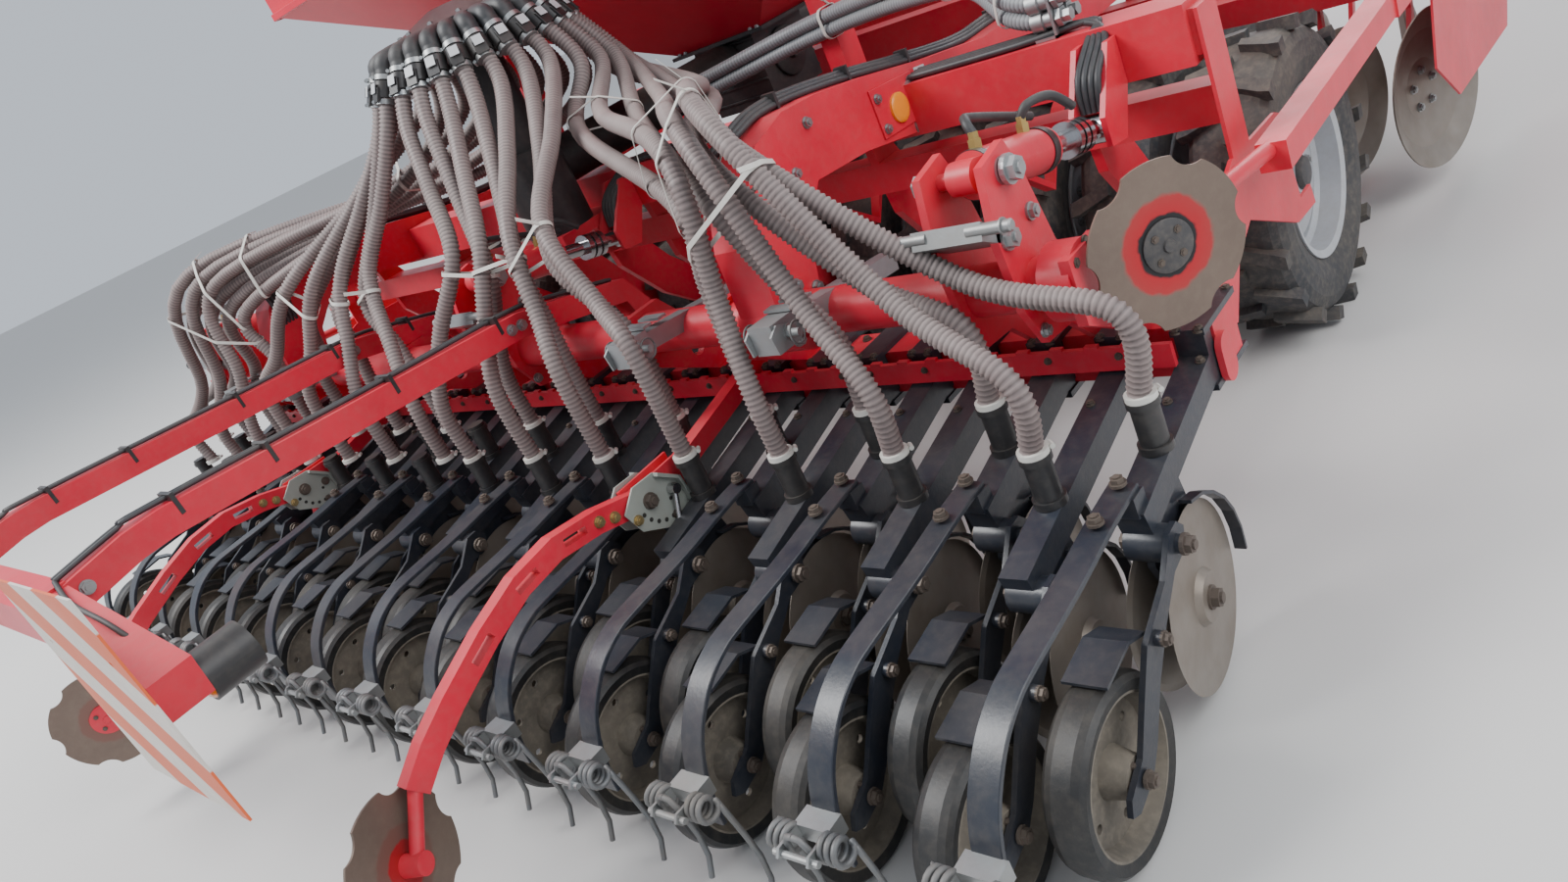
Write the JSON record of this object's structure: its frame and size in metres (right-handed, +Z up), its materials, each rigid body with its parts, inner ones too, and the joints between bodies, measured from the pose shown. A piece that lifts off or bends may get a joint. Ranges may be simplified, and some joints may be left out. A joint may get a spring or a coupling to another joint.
{
  "type": "seed drill",
  "caption": "Trailed seed drill with tyre packer, front disc rows, lifting row of disc coulters with press wheels and spring tines, seed hoses, hopper and folding markers.",
  "frame": {"origin": "on the ground below the middle of the whole machine", "axes": "+Y forward along the drawbar, +X to the machine's right, +Z up"},
  "size_m": [4.0798, 5.83, 2.3323],
  "materials": {
    "red_paint": "gloss paint, dusty",
    "black_paint": "satin paint, worn",
    "silver_paint": "satin paint",
    "zinc": "galvanised",
    "chrome_rod": "polished",
    "soil_steel": "worn by soil",
    "press_face": "dull, dusty",
    "tyre": "matt",
    "press_rubber": "matt",
    "black_plastic": "moulded",
    "hose": "ribbed",
    "board": "reflective",
    "lamp": "moulded"
  },
  "bodies": {
    "frame": {"main_frame": "red_paint", "packer_frame": "red_paint", "side_shields": "red_paint", "drawbar": "red_paint", "hitch_shaft": "zinc", "hopper": "red_paint", "metering_unit": "black_plastic", "fan_housing": "red_paint", "air_duct": "black_plastic", "distributor": "black_plastic", "disc_frame": "red_paint", "front_discs": "soil_steel", "walkway": "red_paint", "hoses_right": "hose", "hoses_left": "hose"},
    "coulters": {"coulter_bar": "red_paint", "coulter_arms": "black_paint", "coulter_shoes": "black_paint", "opener_discs": "soil_steel", "seed_elbows": "black_plastic", "wheel_arms": "black_paint", "wheel_scrapers": "black_paint", "harrow_bars": "black_paint", "harrow_tines": "zinc", "lock_arms": "zinc", "light_carrier": "red_paint", "warning_boards": "board", "lamps": "lamp"},
    "fan": {"fan_impeller": "zinc"},
    "jack": {"jack_leg": "zinc"},
    "lid": {"hopper_lid": "red_paint"},
    "lift_barrels": {"lift_barrels": "red_paint"},
    "lift_rods": {"lift_rods": "chrome_rod"},
    "press_wheels_front": {"press_tyres_front": "press_rubber", "press_discs_front": "press_face"},
    "press_wheels_rear": {"press_tyres_rear": "press_rubber", "press_discs_rear": "press_face"},
    "marker_right": {"marker_arm_right": "red_paint"},
    "marker_left": {"marker_arm_left": "red_paint"},
    "marker_disc_right": {"marker_disc_right": "soil_steel"},
    "marker_disc_left": {"marker_disc_left": "soil_steel"},
    "emergence_right": {"emergence_arm_right": "red_paint"},
    "emergence_left": {"emergence_arm_left": "red_paint"},
    "emergence_disc_right": {"emergence_disc_right": "soil_steel"},
    "emergence_disc_left": {"emergence_disc_left": "soil_steel"},
    "packer_1": {"packer_tyres_1": "tyre", "packer_rims_1": "silver_paint"},
    "packer_2": {"packer_tyres_2": "tyre", "packer_rims_2": "silver_paint"},
    "packer_3": {"packer_tyres_3": "tyre", "packer_rims_3": "silver_paint"},
    "packer_4": {"packer_tyres_4": "tyre", "packer_rims_4": "silver_paint"},
    "packer_5": {"packer_tyres_5": "tyre", "packer_rims_5": "silver_paint"},
    "packer_6": {"packer_tyres_6": "tyre", "packer_rims_6": "silver_paint"},
    "packer_7": {"packer_tyres_7": "tyre", "packer_rims_7": "silver_paint"}
  },
  "joints": [
    {"name": "coulter_lift", "type": "hinge", "parent": "frame", "child": "coulters", "pos_m": [0, -1.586, 0.75], "axis": [-1, 0, 0], "range_deg": [0, 20], "deforming": ["hoses_right", "hoses_left"]},
    {"name": "lift_barrel_pivot", "type": "hinge", "parent": "coulters", "child": "lift_barrels", "pos_m": [0, -1.586, 0.961], "axis": [-1, 0, 0], "range_deg": [-21, 1]},
    {"name": "lift_rod_slide", "type": "slide", "parent": "lift_barrels", "child": "lift_rods", "axis": [0, 0.9758, -0.2188], "range_m": [-0.08, 0.002]},
    {"name": "jack_slide", "type": "slide", "parent": "frame", "child": "jack", "axis": [0, 0, 1], "range_m": [0, 0.3]},
    {"name": "lid_hinge", "type": "hinge", "parent": "frame", "child": "lid", "pos_m": [0, 0.861, 2.3], "axis": [-1, 0, 0], "range_deg": [0, 100]},
    {"name": "fan_spin", "type": "hinge", "parent": "frame", "child": "fan", "pos_m": [0, 1.555, 1.24], "axis": [1, 0, 0], "continuous": true},
    {"name": "press_front_spin", "type": "hinge", "parent": "coulters", "child": "press_wheels_front", "pos_m": [0, -2.116, 0.16], "axis": [1, 0, 0], "continuous": true},
    {"name": "press_rear_spin", "type": "hinge", "parent": "coulters", "child": "press_wheels_rear", "pos_m": [0, -2.266, 0.16], "axis": [1, 0, 0], "continuous": true},
    {"name": "marker_swing_right", "type": "hinge", "parent": "frame", "child": "marker_right", "pos_m": [1.9605, 0.625, 0.69], "axis": [0, 0, 1], "range_deg": [0, 90]},
    {"name": "marker_swing_left", "type": "hinge", "parent": "frame", "child": "marker_left", "pos_m": [-1.9605, 0.625, 0.69], "axis": [0, 0, -1], "range_deg": [0, 90]},
    {"name": "marker_spin_right", "type": "hinge", "parent": "marker_right", "child": "marker_disc_right", "pos_m": [1.9505, -1.51, 0.756], "axis": [0.7986, -0.6018, 0], "continuous": true},
    {"name": "marker_spin_left", "type": "hinge", "parent": "marker_left", "child": "marker_disc_left", "pos_m": [-1.9505, -1.51, 0.756], "axis": [0.7986, 0.6018, 0], "continuous": true},
    {"name": "emergence_drop_right", "type": "hinge", "parent": "coulters", "child": "emergence_right", "pos_m": [0.858, -1.935, 0.516], "axis": [1, 0, 0], "range_deg": [0, 9]},
    {"name": "emergence_drop_left", "type": "hinge", "parent": "coulters", "child": "emergence_left", "pos_m": [-0.858, -1.935, 0.516], "axis": [1, 0, 0], "range_deg": [0, 9]},
    {"name": "emergence_spin_right", "type": "hinge", "parent": "emergence_right", "child": "emergence_disc_right", "pos_m": [0.858, -2.749, 0.291], "axis": [0.9063, 0.4226, 0], "continuous": true},
    {"name": "emergence_spin_left", "type": "hinge", "parent": "emergence_left", "child": "emergence_disc_left", "pos_m": [-0.858, -2.749, 0.291], "axis": [0.9063, -0.4226, 0], "continuous": true},
    {"name": "packer_spin_1", "type": "hinge", "parent": "frame", "child": "packer_1", "pos_m": [0, -0.295, 0.39], "axis": [1, 0, 0], "continuous": true},
    {"name": "packer_spin_2", "type": "hinge", "parent": "frame", "child": "packer_2", "pos_m": [0, -0.295, 0.39], "axis": [1, 0, 0], "continuous": true},
    {"name": "packer_spin_3", "type": "hinge", "parent": "frame", "child": "packer_3", "pos_m": [0, -0.295, 0.39], "axis": [1, 0, 0], "continuous": true},
    {"name": "packer_spin_4", "type": "hinge", "parent": "frame", "child": "packer_4", "pos_m": [0, -0.295, 0.39], "axis": [1, 0, 0], "continuous": true},
    {"name": "packer_spin_5", "type": "hinge", "parent": "frame", "child": "packer_5", "pos_m": [0, -0.295, 0.39], "axis": [1, 0, 0], "continuous": true},
    {"name": "packer_spin_6", "type": "hinge", "parent": "frame", "child": "packer_6", "pos_m": [0, -0.295, 0.39], "axis": [1, 0, 0], "continuous": true},
    {"name": "packer_spin_7", "type": "hinge", "parent": "frame", "child": "packer_7", "pos_m": [0, -0.295, 0.39], "axis": [1, 0, 0], "continuous": true}
  ],
  "couplings": [
    {"joint": "lift_barrel_pivot", "follows": "coulter_lift", "ratio": -0.9777},
    {"joint": "lift_rod_slide", "follows": "coulter_lift", "m_per_rad": -0.2097}
  ]
}
